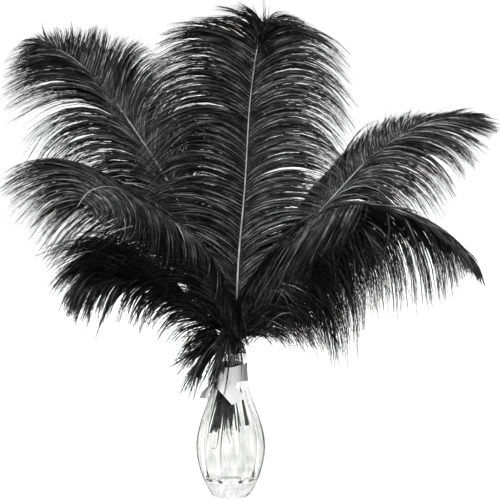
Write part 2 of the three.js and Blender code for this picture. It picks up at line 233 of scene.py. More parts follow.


# ---------- plumes ----------

# All in millimetres. quill and shaft are the points of the frame's own feathers: the cut end, the
# neck of the vase, then the shaft. shaft_ends is how far along them the shaft runs, 0 to 1.
# A vane's guides are barbs given one by one: how far along quill and shaft the barb grows, then the
# points a third and two thirds of the way along it, and its tip. Its other barbs lie between them.
# ruffle is how far they stray from that and cling in locks.
# A tuft is a handful of loose barbs: how many, how widely they spread at the root and at the tip,
# and the line that they follow.
PLUMES = {
    "feather_centre": {
        "quill": [(-4, 4.6, 62), (4, 5.2, 146)],
        "shaft": [
            (8, 10, 230), (14, 13, 300), (19, 9, 382), (27, -2, 438), (36, -14, 465),
        ],
        "shaft_ends": 0.985,
        "vanes": [
            {"barbs": 1150, "ruffle": 1.0, "guides": [
                (0.248, (-8, 0, 177), (-22, -4, 189), (-34, -8, 199)),
                (0.373, (-13, 3, 234), (-33, 0, 247), (-55, -4, 254)),
                (0.474, (-13, 6, 274), (-38, 2, 282), (-66, -4, 281)),
                (0.537, (-14, 8, 294), (-42, 3, 299), (-70, -5, 291)),
                (0.601, (-14, 9, 323), (-47, 3, 324), (-79, -6, 300)),
                (0.666, (-13, 9, 354), (-47, 2, 352), (-81, -8, 318)),
                (0.732, (-12, 7, 378), (-46, 0, 377), (-84, -10, 356)),
                (0.796, (-11, 4, 407), (-44, -4, 408), (-81, -12, 391)),
                (0.843, (-10, 0, 432), (-43, -8, 435), (-72, -16, 420)),
                (0.898, (-5, -4, 446), (-30, -10, 453), (-53, -18, 451)),
                (0.923, (12, -10, 455), (-5, -15, 461), (-25, -20, 462)),
                (0.944, (19, -12, 458), (6, -17, 465), (-9, -20, 466)),
                (0.965, (26, -14, 460), (19, -17, 464), (9, -20, 467)),
            ]},
            {"barbs": 1150, "ruffle": 0.8, "guides": [
                (0.248, (15, 0, 178), (25, -4, 189), (36, -8, 197)),
                (0.373, (28, 3, 233), (52, 0, 243), (74, -4, 243)),
                (0.474, (32, 5, 271), (57, 2, 278), (83, -3, 274)),
                (0.530, (38, 7, 292), (68, 2, 294), (96, -5, 286)),
                (0.631, (42, 8, 336), (73, 3, 337), (101, -6, 319)),
                (0.701, (43, 8, 363), (75, 1, 364), (108, -8, 337)),
                (0.771, (47, 6, 394), (80, -2, 393), (109, -10, 367)),
                (0.822, (48, 2, 414), (79, -6, 412), (110, -14, 388)),
                (0.884, (49, -3, 439), (76, -10, 444), (105, -18, 424)),
                (0.923, (48, -8, 453), (71, -14, 451), (95, -20, 437)),
                (0.934, (43, -12, 455), (59, -17, 458), (78, -20, 450)),
                (0.952, (39, -13, 459), (50, -17, 462), (63, -20, 458)),
                (0.965, (33, -15, 459), (37, -17, 462), (44, -19, 463)),
            ]},
        ],
        "tufts": [
            (3, 1, 1, [(32, -10, 453), (23, -14, 464), (16, -18, 470), (9, -20, 475)]),
            (70, 5, 20, [(29, -4, 434), (30, -9, 442), (32, -13, 449), (32, -16, 456)]),
            (2, 1, 2, [(22, 2, 411), (-7, -8, 434), (-41, -16, 438), (-71, -22, 415)]),
            (2, 1, 2, [(30, -12, 446), (21, -15, 459), (13, -17, 466), (8, -18, 472)]),
            (5, 3, 5, [(5, 4, 169), (9, -8, 160), (12, -18, 150), (16, -19, 135)]),
            (60, 3, 22, [(5, 5, 156), (1, 10, 170), (-4, 10, 184), (-10, 8, 200)]),
            (60, 3, 22, [(6, 5, 156), (15, 8, 165), (24, 8, 174), (36, 6, 185)]),
            (60, 9, 9, [(2, -2, 152), (2, -3, 142), (3, -3, 134), (3, -3, 124)]),
            (60, 9, 14, [(2, 0, 142), (3, 0, 154), (4, -2, 166), (5, -2, 176)]),
        ],
    },
    "feather_upper_left": {
        "quill": [(13, 8.2, 66), (-5, 9.6, 146)],
        "shaft": [
            (-25, 26, 216), (-54, 42, 287), (-90, 52, 345), (-125, 55, 392), (-160, 48, 424),
            (-195, 36, 434),
        ],
        "shaft_ends": 0.97,
        "vanes": [
            {"barbs": 1150, "ruffle": 1.0, "guides": [
                (0.299, (-41, 14, 220), (-69, 10, 232), (-101, 4, 228)),
                (0.399, (-60, 24, 265), (-96, 18, 278), (-132, 10, 265)),
                (0.498, (-81, 32, 306), (-119, 24, 311), (-153, 14, 288)),
                (0.564, (-98, 38, 333), (-140, 30, 336), (-174, 18, 299)),
                (0.629, (-114, 42, 358), (-156, 34, 362), (-194, 22, 326)),
                (0.666, (-120, 46, 373), (-157, 38, 385), (-207, 28, 370)),
                (0.731, (-133, 47, 393), (-170, 40, 401), (-208, 30, 386)),
                (0.797, (-148, 47, 410), (-178, 42, 411), (-209, 32, 401)),
                (0.859, (-163, 45, 420), (-184, 40, 421), (-206, 32, 413)),
                (0.913, (-176, 42, 430), (-191, 38, 430), (-203, 33, 422)),
                (0.950, (-183, 39, 433), (-192, 36, 434), (-200, 33, 432)),
            ]},
            {"barbs": 1200, "ruffle": 0.55, "guides": [
                (0.299, (-18, 34, 210), (-12, 40, 229), (-1, 44, 246)),
                (0.399, (-34, 44, 256), (-30, 52, 276), (-18, 56, 295)),
                (0.498, (-49, 52, 300), (-42, 60, 324), (-24, 64, 345)),
                (0.594, (-72, 60, 338), (-63, 68, 364), (-41, 69, 382)),
                (0.666, (-91, 64, 362), (-80, 69, 385), (-57, 72, 403)),
                (0.718, (-101, 66, 380), (-92, 69, 405), (-72, 72, 417)),
                (0.784, (-113, 66, 401), (-105, 68, 419), (-96, 72, 432)),
                (0.832, (-127, 64, 418), (-124, 71, 430), (-122, 70, 442)),
                (0.873, (-142, 60, 426), (-140, 66, 435), (-138, 70, 445)),
                (0.903, (-156, 55, 430), (-156, 60, 437), (-158, 64, 444)),
                (0.933, (-173, 48, 434), (-177, 51, 438), (-181, 54, 443)),
                (0.954, (-182, 44, 434), (-187, 45, 437), (-191, 46, 439)),
            ]},
        ],
        "tufts": [],
    },
    "feather_upper_right": {
        "quill": [(-13, 0.8, 66), (7, 1.2, 146)],
        "shaft": [
            (30, -3, 200), (64, -7, 252), (100, -10, 296), (140, -14, 338), (180, -20, 363),
            (212, -26, 369), (246, -34, 360),
        ],
        "shaft_ends": 0.97,
        "vanes": [
            {"barbs": 1150, "ruffle": 0.3, "guides": [
                (0.298, (24, 8, 205), (30, 16, 220), (42, 22, 230)),
                (0.399, (47, 6, 244), (54, 16, 259), (67, 24, 269)),
                (0.500, (72, 4, 280), (78, 14, 294), (89, 22, 304)),
                (0.577, (93, 2, 303), (98, 12, 315), (106, 20, 326)),
                (0.642, (112, 0, 322), (114, 9, 333), (121, 16, 344)),
                (0.694, (128, -2, 337), (130, 7, 347), (136, 14, 357)),
                (0.743, (143, -6, 349), (145, 2, 356), (150, 9, 364)),
                (0.785, (158, -12, 358), (160, -5, 364), (167, 2, 369)),
                (0.818, (174, -16, 364), (179, -12, 368), (187, -8, 371)),
                (0.867, (201, -20, 370), (212, -18, 372), (224, -17, 372)),
                (0.921, (223, -25, 371), (232, -25, 371), (241, -26, 368)),
            ]},
            {"barbs": 1150, "ruffle": 1.0, "guides": [
                (0.298, (47, -10, 211), (72, -16, 218), (96, -22, 206)),
                (0.416, (77, -14, 258), (105, -22, 263), (133, -30, 243)),
                (0.509, (101, -17, 291), (129, -26, 294), (155, -36, 271)),
                (0.577, (120, -19, 306), (147, -28, 305), (171, -38, 282)),
                (0.631, (135, -20, 319), (166, -29, 315), (193, -38, 286)),
                (0.681, (147, -21, 337), (180, -29, 332), (210, -37, 303)),
                (0.731, (164, -22, 350), (195, -29, 346), (220, -36, 323)),
                (0.778, (180, -23, 359), (208, -29, 354), (230, -34, 340)),
                (0.818, (195, -24, 363), (217, -29, 360), (237, -33, 352)),
                (0.860, (206, -25, 368), (224, -29, 365), (241, -32, 359)),
                (0.910, (221, -27, 369), (232, -29, 366), (243, -31, 364)),
            ]},
        ],
        "tufts": [
            (1, 0.4, 0.4, [(175, -19, 364), (195, -26, 370), (217, -30, 377), (236, -33, 383)]),
            (3, 0.8, 2, [(87, -9, 282), (104, 6, 325), (125, 12, 355), (151, 14, 362)]),
        ],
    },
    "feather_lower_right": {
        "quill": [(-17, -6, 62), (5, -7, 146)],
        "shaft": [
            (20, -20, 190), (45, -46, 241), (78, -78, 283), (117, -108, 300), (155, -135, 298),
            (187, -157, 285), (210, -168, 264), (224, -176, 238),
        ],
        "shaft_ends": 0.99,
        "vanes": [
            {"barbs": 700, "ruffle": 0.35, "over_shaft": True, "guides": [
                (0.206, (4, -16, 171), (4, -22, 186), (8, -28, 201)),
                (0.283, (17, -28, 205), (24, -40, 226), (37, -52, 245)),
                (0.366, (34, -42, 236), (45, -56, 255), (59, -68, 271)),
                (0.455, (56, -60, 262), (64, -70, 274), (77, -80, 286)),
                (0.511, (51, -84, 259), (35, -84, 234), (21, -72, 200)),
                (0.551, (62, -92, 265), (48, -94, 240), (31, -84, 203)),
                (0.588, (75, -100, 272), (61, -102, 245), (45, -92, 206)),
                (0.619, (89, -108, 281), (77, -110, 259), (67, -104, 232)),
                (0.651, (101, -114, 289), (94, -118, 273), (83, -114, 253)),
                (0.678, (115, -120, 292), (109, -124, 282), (102, -122, 267)),
            ]},
            {"barbs": 300, "ruffle": 0.35, "over_shaft": True, "guides": [
                (0.687, (137, -128, 301), (153, -138, 299), (168, -147, 294)),
                (0.755, (161, -140, 297), (175, -150, 290), (188, -158, 282)),
                (0.804, (178, -150, 288), (191, -158, 278), (202, -164, 269)),
                (0.857, (197, -160, 274), (207, -167, 263), (217, -172, 250)),
                (0.912, (212, -168, 260), (219, -172, 248), (223, -174, 237)),
            ]},
            {"barbs": 1300, "ruffle": 1.0, "guides": [
                (0.206, (19, -6, 160), (32, -6, 160), (45, -8, 150)),
                (0.234, (34, -6, 181), (59, -4, 179), (80, -8, 152)),
                (0.283, (47, -12, 207), (78, -8, 199), (99, -12, 143)),
                (0.349, (60, -20, 232), (94, -14, 216), (112, -18, 139)),
                (0.407, (73, -30, 252), (109, -24, 233), (124, -28, 168)),
                (0.470, (87, -46, 273), (123, -40, 249), (136, -42, 189)),
                (0.518, (100, -60, 284), (133, -54, 259), (149, -54, 197)),
                (0.566, (112, -74, 292), (143, -70, 265), (159, -70, 202)),
                (0.614, (127, -88, 294), (157, -86, 268), (172, -86, 207)),
                (0.662, (143, -100, 294), (168, -100, 267), (183, -102, 212)),
                (0.707, (156, -112, 292), (180, -114, 266), (193, -116, 215)),
                (0.755, (170, -126, 288), (187, -128, 266), (196, -130, 228)),
                (0.804, (184, -140, 283), (195, -142, 265), (202, -144, 239)),
                (0.857, (197, -152, 273), (204, -154, 262), (210, -156, 249)),
                (0.912, (210, -164, 261), (215, -168, 252), (219, -170, 243)),
            ]},
            {"barbs": 560, "ruffle": 1.1, "guides": [
                (0.206, (17, -2, 157), (26, 0, 155), (36, 0, 149)),
                (0.223, (24, 0, 170), (44, 4, 169), (61, 4, 154)),
                (0.254, (36, -4, 188), (59, 2, 183), (76, 2, 152)),
                (0.296, (47, -10, 205), (72, -4, 196), (89, -6, 150)),
                (0.349, (58, -18, 226), (85, -12, 209), (102, -14, 156)),
                (0.407, (69, -26, 245), (94, -20, 226), (111, -24, 175)),
                (0.470, (82, -40, 264), (106, -34, 242), (120, -38, 193)),
            ]},
        ],
        "tufts": [
            (2, 0.5, 0.3, [(119, -112, 300), (113, -120, 288), (107, -124, 277), (99, -126, 263)]),
            (2, 0.5, 0.3, [(123, -116, 300), (121, -122, 292), (117, -125, 284), (114, -126, 274)]),
            (2, 0.5, 0.3, [(139, -124, 300), (142, -132, 281), (139, -136, 266), (132, -138, 250)]),
            (3, 1.2, 1, [(151, -132, 300), (161, -140, 283), (168, -144, 264), (175, -146, 246)]),
            (2, 1, 4, [(19, -19, 187), (39, -26, 173), (47, -28, 159), (49, -29, 142)]),
            (2, 1, 6, [(30, -28, 207), (81, -30, 178), (103, -34, 155), (108, -36, 129)]),
            (3, 2, 6, [(9, -10, 160), (15, -16, 156), (16, -18, 149), (17, -19, 141)]),
            (2, 0.6, 0.4, [(7, -10, 164), (10, -21, 147), (11, -22, 132), (10, -22, 113)]),
            (70, 3, 14, [(9, -10, 160), (21, -14, 167), (34, -16, 168), (49, -18, 160)]),
            (110, 9, 30, [(30, -26, 204), (43, -34, 216), (60, -36, 216), (79, -38, 197)]),
            (90, 8, 20, [(19, -12, 165), (36, -14, 178), (54, -12, 173), (70, -10, 152)]),
            (90, 8, 20, [(26, -18, 178), (47, -20, 191), (67, -18, 182), (83, -16, 153)]),
            (60, 8, 14, [(15, -10, 160), (26, -10, 166), (40, -8, 164), (53, -6, 153)]),
            (70, 8, 18, [(49, -30, 207), (71, -34, 211), (88, -34, 195), (98, -34, 160)]),
            (90, 8, 30, [(91, -90, 282), (114, -98, 279), (129, -98, 257), (140, -98, 224)]),
            (90, 8, 30, [(73, -74, 268), (99, -84, 268), (115, -84, 247), (126, -84, 214)]),
            (110, 9, 30, [(43, -34, 227), (61, -46, 237), (82, -48, 228), (99, -48, 201)]),
            (110, 9, 30, [(57, -56, 254), (77, -66, 257), (98, -66, 244), (113, -64, 212)]),
        ],
    },
    "feather_lower_left": {
        "quill": [(9, -9.4, 64), (1, -10.8, 146)],
        "shaft": [
            (-1, -18, 180), (-10, -36, 226), (-34, -55, 263), (-65, -77, 291), (-106, -106, 316),
            (-125, -118, 313), (-136, -122, 298),
        ],
        "shaft_ends": 0.99,
        "vanes": [
            {"barbs": 950, "ruffle": 0.35, "guides": [
                (0.239, (3, -18, 158), (5, -24, 167), (9, -30, 176)),
                (0.312, (5, -28, 176), (9, -32, 169), (14, -34, 158)),
                (0.379, (2, -38, 193), (7, -42, 181), (12, -42, 164)),
                (0.434, (-2, -46, 207), (3, -50, 192), (6, -50, 173)),
                (0.492, (-7, -54, 221), (-2, -60, 206), (0, -60, 185)),
                (0.543, (-14, -62, 238), (-10, -68, 222), (-11, -70, 202)),
                (0.591, (-23, -70, 250), (-18, -76, 237), (-22, -78, 220)),
                (0.643, (-34, -78, 263), (-29, -84, 249), (-30, -86, 233)),
                (0.696, (-47, -88, 275), (-41, -94, 258), (-43, -94, 236)),
                (0.742, (-57, -96, 284), (-51, -104, 267), (-53, -104, 242)),
                (0.790, (-69, -104, 293), (-63, -112, 274), (-66, -112, 249)),
                (0.838, (-80, -112, 301), (-74, -118, 283), (-78, -120, 259)),
                (0.879, (-92, -118, 308), (-84, -124, 291), (-90, -126, 269)),
                (0.919, (-104, -122, 308), (-96, -128, 295), (-101, -130, 279)),
                (0.947, (-115, -124, 307), (-109, -130, 298), (-111, -132, 286)),
                (0.977, (-125, -124, 302), (-119, -128, 296), (-119, -130, 287)),
            ]},
            {"barbs": 1200, "ruffle": 0.85, "guides": [
                (0.312, (-23, -8, 203), (-55, -8, 220), (-89, -14, 218)),
                (0.434, (-40, -20, 242), (-81, -18, 251), (-124, -24, 227)),
                (0.543, (-60, -34, 271), (-104, -34, 272), (-149, -40, 236)),
                (0.611, (-76, -48, 288), (-120, -50, 287), (-166, -56, 244)),
                (0.673, (-91, -62, 301), (-137, -66, 299), (-177, -72, 260)),
                (0.733, (-105, -76, 314), (-148, -82, 312), (-190, -88, 279)),
                (0.784, (-116, -90, 324), (-157, -96, 325), (-198, -102, 300)),
                (0.834, (-126, -100, 332), (-161, -108, 337), (-200, -114, 317)),
                (0.879, (-133, -108, 333), (-162, -116, 339), (-197, -122, 327)),
                (0.912, (-138, -114, 327), (-162, -122, 328), (-192, -128, 315)),
                (0.942, (-141, -118, 319), (-160, -126, 316), (-179, -132, 303)),
                (0.977, (-144, -122, 305), (-156, -128, 300), (-169, -132, 288)),
                (0.995, (-143, -124, 294), (-150, -128, 288), (-157, -130, 277)),
            ]},
            {"barbs": 420, "ruffle": 1.0, "guides": [
                (0.265, (-12, -14, 173), (-25, -16, 183), (-40, -18, 189)),
                (0.306, (-17, -18, 191), (-36, -22, 202), (-58, -26, 206)),
                (0.354, (-23, -24, 208), (-45, -28, 220), (-73, -34, 221)),
                (0.398, (-26, -30, 224), (-50, -34, 235), (-80, -42, 234)),
                (0.448, (-32, -38, 239), (-58, -42, 247), (-89, -50, 239)),
            ]},
        ],
        "tufts": [
            (5, 1.2, 0.8, [(0, -15, 166), (-1, -22, 146), (-2, -22, 128), (-6, -24, 106)]),
            (80, 3, 26, [(2, -10, 155), (-8, -14, 167), (-19, -18, 178), (-30, -20, 188)]),
            (60, 3, 18, [(0, -8, 159), (4, -14, 170), (9, -18, 180), (13, -18, 191)]),
            (90, 5, 12, [(-1, -16, 170), (-4, -20, 163), (-7, -22, 155), (-11, -24, 146)]),
            (5, 2, 5, [(-8, -18, 155), (-15, -24, 140), (-23, -26, 125), (-32, -28, 102)]),
            (4, 1, 4, [(-8, -18, 152), (-14, -24, 136), (-18, -25, 123), (-23, -26, 108)]),
            (4, 1, 4, [(-12, -18, 155), (-23, -24, 146), (-32, -27, 129), (-41, -30, 104)]),
            (3, 1, 3, [(-4, -18, 152), (-8, -23, 138), (-13, -24, 125), (-16, -25, 109)]),
        ],
    },
    "feather_bottom_left": {
        "quill": [(4, -2.6, 64), (-8, -3, 146)],
        "shaft": [
            (-22, -10, 174), (-48, -18, 197), (-80, -27, 214), (-105, -34, 219), (-130, -40, 212),
            (-155, -48, 195),
        ],
        "shaft_ends": 0.95,
        "vanes": [
            {"barbs": 1150, "ruffle": 1.0, "guides": [
                (0.349, (-29, 0, 180), (-50, 4, 197), (-75, 4, 208)),
                (0.434, (-52, -2, 202), (-84, 0, 221), (-118, -6, 222)),
                (0.499, (-67, -6, 216), (-106, -6, 235), (-146, -16, 222)),
                (0.558, (-82, -10, 224), (-121, -12, 238), (-162, -24, 217)),
                (0.611, (-93, -14, 227), (-126, -18, 235), (-160, -30, 209)),
                (0.670, (-102, -18, 226), (-130, -24, 227), (-155, -36, 201)),
                (0.726, (-111, -22, 224), (-131, -30, 220), (-150, -40, 194)),
                (0.786, (-121, -28, 220), (-135, -34, 213), (-147, -44, 190)),
                (0.858, (-133, -36, 210), (-140, -40, 202), (-146, -46, 189)),
                (0.914, (-141, -42, 202), (-145, -44, 196), (-147, -47, 189)),
            ]},
            {"barbs": 420, "ruffle": 1.1, "guides": [
                (0.325, (-21, -10, 143), (-32, -14, 128), (-40, -16, 103)),
                (0.390, (-31, -14, 165), (-43, -18, 156), (-52, -22, 140)),
                (0.450, (-42, -20, 183), (-57, -26, 178), (-70, -30, 161)),
                (0.507, (-55, -24, 194), (-70, -32, 188), (-81, -38, 171)),
                (0.574, (-66, -28, 201), (-78, -38, 193), (-87, -44, 174)),
                (0.639, (-79, -34, 208), (-88, -42, 200), (-95, -50, 185)),
                (0.701, (-93, -38, 213), (-102, -46, 203), (-111, -54, 180)),
                (0.766, (-108, -42, 215), (-116, -50, 205), (-123, -56, 186)),
                (0.837, (-124, -46, 210), (-130, -52, 199), (-135, -58, 182)),
                (0.905, (-139, -48, 203), (-142, -52, 194), (-146, -56, 184)),
            ]},
        ],
        "tufts": [
            (7, 1.5, 1, [(-86, -34, 217), (-102, -44, 208), (-117, -50, 188), (-127, -56, 158)]),
            (60, 6, 16, [(-76, -12, 213), (-108, -22, 242), (-140, -32, 248), (-170, -38, 237)]),
            (60, 6, 16, [(-62, -10, 207), (-92, -18, 239), (-125, -28, 253), (-157, -34, 244)]),
            (40, 6, 14, [(-85, -14, 212), (-118, -24, 233), (-146, -32, 230), (-166, -38, 211)]),
            (30, 5, 10, [(-48, -8, 201), (-76, -16, 231), (-107, -24, 246), (-137, -30, 240)]),
            (16, 3, 6, [(-112, -16, 214), (-134, -24, 225), (-152, -32, 223), (-165, -38, 209)]),
            (12, 2, 4, [(-122, -24, 212), (-137, -30, 215), (-150, -36, 206), (-157, -40, 190)]),
            (8, 1.5, 3, [(-129, -34, 210), (-138, -40, 200), (-143, -44, 187), (-146, -46, 172)]),
            (6, 1.5, 3, [(-122, -36, 214), (-129, -44, 199), (-132, -48, 184), (-138, -50, 167)]),
            (6, 1.5, 2, [(-101, -40, 219), (-110, -48, 205), (-115, -54, 191), (-119, -58, 173)]),
            (4, 2, 2, [(-75, -30, 213), (-82, -40, 200), (-85, -46, 186), (-84, -48, 170)]),
            (60, 3, 16, [(-8, -5, 149), (-21, -14, 140), (-33, -18, 125), (-42, -20, 104)]),
            (50, 3, 14, [(-10, -4, 153), (-26, -14, 148), (-40, -20, 139), (-51, -24, 131)]),
            (36, 3, 10, [(-4, -8, 151), (-10, -21, 140), (-15, -23, 121), (-20, -25, 100)]),
            (40, 4, 18, [(-12, -4, 157), (-23, -14, 158), (-36, -22, 155), (-49, -28, 149)]),
            (14, 2.5, 0.6, [(-9, -7, 118), (-13, -9, 96), (-19, -10, 74), (-23, -10, 52)]),
            (22, 3, 0.6, [(-6, -8, 120), (-9, -9, 98), (-12, -9, 76), (-15, -8, 54)]),
            (22, 3, 0.6, [(-2, -9, 118), (-4, -10, 95), (-7, -10, 70), (-10, -9, 45)]),
            (30, 4, 3, [(0, -5, 120), (-1, -6, 104), (-2, -7, 86), (-2, -8, 66)]),
        ],
    },
}

SHAFT_RADIUS_MM = 1.3
SHAFT_TIP_RADIUS_MM = 0.35
SHAFT_STANDS_OUT_MM = 1.2
BARB_SHARE = 1
LAYER_DEPTHS_MM = (0, 2.5)
BARBS_A_LOCK = (5, 8)
LOCK_CROWN_MM = 1.3
LOCKS_ON_MAP = 500
BARB_STEPS = 7
BARB_WIDTH_MM = 1.0
BARBULES_A_FEATHER = 116000
BARBULE_LENGTH_MM = (1.2, 4.2)
BARBULE_WIDTH_MM = 0.6
LOCK_STRAY_MM = 2.8
BARB_STRAY_MM = 1.6
LOOSE_BARB_STRAY_MM = 9
LOOSE_BARB_SHARE = 0.03
STRAY_LIMIT_MM = 8.0
# How much of its stray a barb shows a third and two thirds of the way along, and at its tip.
STRAY_ALONG = (0.22, 0.6, 1.0)
DRIFT_KNOTS = 25
WISP_REACH_SPREAD = 0.05
BARB_REACH_SPREAD = 0.03
LONGEST_REACH = 1.05
TUFT_REACH_SPREAD = 0.08
CLING = (0.1, 0.85)
BARB_ROLL = 0.45
BARB_TWIST = 0.6
BARBULE_ANGLES_DEG = (20, 52)
BARBULE_ROLL = 0.9
SPAN_STEPS = 60
SHAFT_RINGS = 60


def unit(v):
    return v / np.linalg.norm(v, axis=-1, keepdims=True)


def smooth_line(points, samples=400):
    """A centripetal Catmull-Rom curve through the points, sampled evenly along its length."""
    p = np.array(points, float)
    p = np.vstack([2 * p[0] - p[1], p, 2 * p[-1] - p[-2]])
    pieces = []
    for a, b, c, d in zip(p[:-3], p[1:-2], p[2:-1], p[3:]):
        t1 = np.linalg.norm(b - a) ** 0.5
        t2 = t1 + np.linalg.norm(c - b) ** 0.5
        t3 = t2 + np.linalg.norm(d - c) ** 0.5
        t = np.linspace(t1, t2, SPAN_STEPS, endpoint=False)[:, None]
        ab = a * (t1 - t) / t1 + b * t / t1
        bc = b * (t2 - t) / (t2 - t1) + c * (t - t1) / (t2 - t1)
        cd = c * (t3 - t) / (t3 - t2) + d * (t - t2) / (t3 - t2)
        abc = ab * (t2 - t) / t2 + bc * t / t2
        bcd = bc * (t3 - t) / (t3 - t1) + cd * (t - t1) / (t3 - t1)
        pieces.append(abc * (t2 - t) / (t2 - t1) + bcd * (t - t1) / (t2 - t1))
    line = np.vstack(pieces + [p[-2:-1]])
    length = np.r_[0, np.cumsum(np.linalg.norm(np.diff(line, axis=0), axis=1))]
    even = np.linspace(0, length[-1], samples)
    return np.stack([np.interp(even, length, line[:, i]) for i in range(3)], axis=1)


def along(line, t):
    """Points and directions at the fractions t of a sampled line."""
    spots = np.linspace(0, 1, len(line))
    slope = unit(np.gradient(line, axis=0))
    point = np.stack([np.interp(t, spots, line[:, i]) for i in range(3)], axis=-1)
    way = np.stack([np.interp(t, spots, slope[:, i]) for i in range(3)], axis=-1)
    return point, unit(way)


def wander(rng, t, knots, amount):
    """A smooth random value along t, from 0 to 1."""
    return np.interp(t, np.linspace(0, 1, knots), rng.normal(0, amount, knots))


def smoothstep(x, low, high):
    x = np.clip((x - low) / (high - low), 0, 1)
    return x * x * (3 - 2 * x)


def through_four(points, u):
    """The cubic that passes four points, given along axis -2, at 0, 1/3, 2/3 and 1."""
    third = 1 / 3
    share = np.stack([
        -4.5 * (u - third) * (u - 2 * third) * (u - 1),
        13.5 * u * (u - 2 * third) * (u - 1),
        -13.5 * u * (u - third) * (u - 1),
        4.5 * u * (u - third) * (u - 2 * third),
    ], axis=-1)
    return share @ points


def facing_front(way, out):
    """The vane's normal, turned to the side its feather shows."""
    normal = np.cross(way, out)
    return unit(normal * np.where(normal[..., 1:2] > 0, -1, 1))


def barb_paths(line, vane, depth_mm, rng):
    """One layer of a vane: the barbs' centre lines as an array of barb, step, xyz; each barb's
    normal; and its lock's number and its place across the lock as one number."""
    barbs = round(vane["barbs"] * BARB_SHARE / len(LAYER_DEPTHS_MM))
    ruffle = vane["ruffle"]
    grows = np.array([guide[0] for guide in vane["guides"]])
    laid = np.array([guide[1:] for guide in vane["guides"]], float).reshape(len(grows), 9)
    share = (np.arange(barbs) + rng.uniform(0, 1, barbs)) / barbs
    t = grows[0] + share * (grows[-1] - grows[0])
    root, way = along(line, t)
    points = np.stack([np.interp(t, grows, laid[:, i]) for i in range(9)], axis=1)
    points = points.reshape(barbs, 3, 3)

    # Neighbouring barbs cling together in locks, which share most of their variation.
    few, many = BARBS_A_LOCK
    edges = np.cumsum(rng.integers(few, many + 1, barbs // few + 1))
    lock = np.searchsorted(edges, np.arange(barbs), side="right")
    starts = np.r_[0, edges]
    across = (np.arange(barbs) - starts[lock] + 0.5) / (starts[lock + 1] - starts[lock])
    wisp = lock * 2 + (across > 0.5)
    locks, wisps = lock.max() + 1, wisp.max() + 1
    loose = rng.random(barbs) < LOOSE_BARB_SHARE
    drift = [wander(rng, share, DRIFT_KNOTS, LOCK_STRAY_MM) for _ in range(3)]
    swell = np.stack(drift, axis=1)
    swell = swell + rng.normal(0, LOCK_STRAY_MM, (locks, 3))[lock]
    swell = swell + rng.normal(0, LOCK_STRAY_MM, (wisps, 3))[wisp]
    swell = swell * ruffle + rng.normal(0, BARB_STRAY_MM, (barbs, 3))
    swell = swell + loose[:, None] * rng.normal(0, LOOSE_BARB_STRAY_MM, (barbs, 3))
    swell = np.clip(swell, -STRAY_LIMIT_MM, STRAY_LIMIT_MM)
    points = points + swell[:, None] * np.array(STRAY_ALONG)[None, :, None]

    out = unit(points[:, 0] - root)
    out = unit(out - way * (out * way).sum(1, keepdims=True))
    normal = facing_front(way, out)
    over = SHAFT_STANDS_OUT_MM if vane.get("over_shaft") else -SHAFT_STANDS_OUT_MM
    root = root + out * 0.5 + normal * over
    reach = 1 + rng.normal(0, WISP_REACH_SPREAD, wisps)[wisp]
    reach = np.minimum(reach + rng.normal(0, BARB_REACH_SPREAD, barbs), LONGEST_REACH)
    u = np.linspace(0, 1, BARB_STEPS + 1)
    path = through_four(np.concatenate([root[:, None], points], axis=1), reach[:, None] * u)

    count = np.bincount(wisp, minlength=wisps)[:, None, None]
    leader = np.zeros((wisps,) + path.shape[1:])
    np.add.at(leader, wisp, path)
    leader = leader / np.maximum(count, 1)
    cling = rng.uniform(*CLING, wisps)[wisp]
    cling[loose] = 0
    hold = cling[:, None] * smoothstep(u, 0.45, 1)[None]
    path = path + (leader[wisp] - path) * hold[..., None]
    crown = LOCK_CROWN_MM * np.sin(math.pi * across)[:, None] * smoothstep(u, 0, 0.25)
    below = depth_mm * np.sin(math.pi * u)
    path = path + normal[:, None] * (crown - below)[..., None]
    return path, normal, lock + across


def tuft_paths(tuft, rng):
    """A handful of loose barbs along one line."""
    barbs, at_root, at_tip, points = tuft
    u = np.linspace(0, 1, BARB_STEPS + 1)
    reach = 1 + rng.normal(0, TUFT_REACH_SPREAD, barbs)
    points = np.broadcast_to(np.array(points, float), (barbs, 4, 3))
    path = through_four(points, reach[:, None] * u)
    start = rng.normal(0, at_root / 2, (barbs, 1, 3)) * (1 - u)[None, :, None]
    stop = rng.normal(0, at_tip / 2, (barbs, 1, 3)) * (u ** 1.5)[None, :, None]
    path = path + start + stop
    way = unit(path[:, -1] - path[:, 0])
    side = np.broadcast_to(np.array([1.0, 0.0, 0.2]), way.shape)
    return path, facing_front(way, side), rng.uniform(0, 2, barbs)


def strip_mesh(path, normal, strand, width, rng):
    """Flat tapering barbs, each a little twisted: corners, faces and bake-map places."""
    count, rings = path.shape[:2]
    u = np.linspace(0, 1, rings)
    way = unit(np.gradient(path, axis=1))
    side = unit(np.cross(way, normal[:, None]))
    top = np.cross(side, way)
    roll = rng.normal(0, BARB_ROLL, (count, 1)) + rng.normal(0, BARB_TWIST, (count, 1)) * u
    across = side * np.cos(roll)[..., None] + top * np.sin(roll)[..., None]
    half = width * (0.75 + 0.25 * smoothstep(u, 0, 0.2)) * (1 - 0.85 * smoothstep(u, 0.45, 1)) / 2
    half = half[None, :, None]
    corners = np.stack([path - across * half, path + across * half], axis=2)
    first = (np.arange(count)[:, None] * rings + np.arange(rings - 1)[None]) * 2
    quads = np.stack([first, first + 1, first + 3, first + 2], axis=-1).reshape(-1, 4)
    column = np.broadcast_to((strand / LOCKS_ON_MAP)[:, None, None], (count, rings, 2))
    column = column + np.array([-0.00005, 0.00005])
    row = np.broadcast_to(u[None, :, None], (count, rings, 2))
    return corners.reshape(-1, 3), quads, np.stack([column, row], axis=-1).reshape(-1, 2)


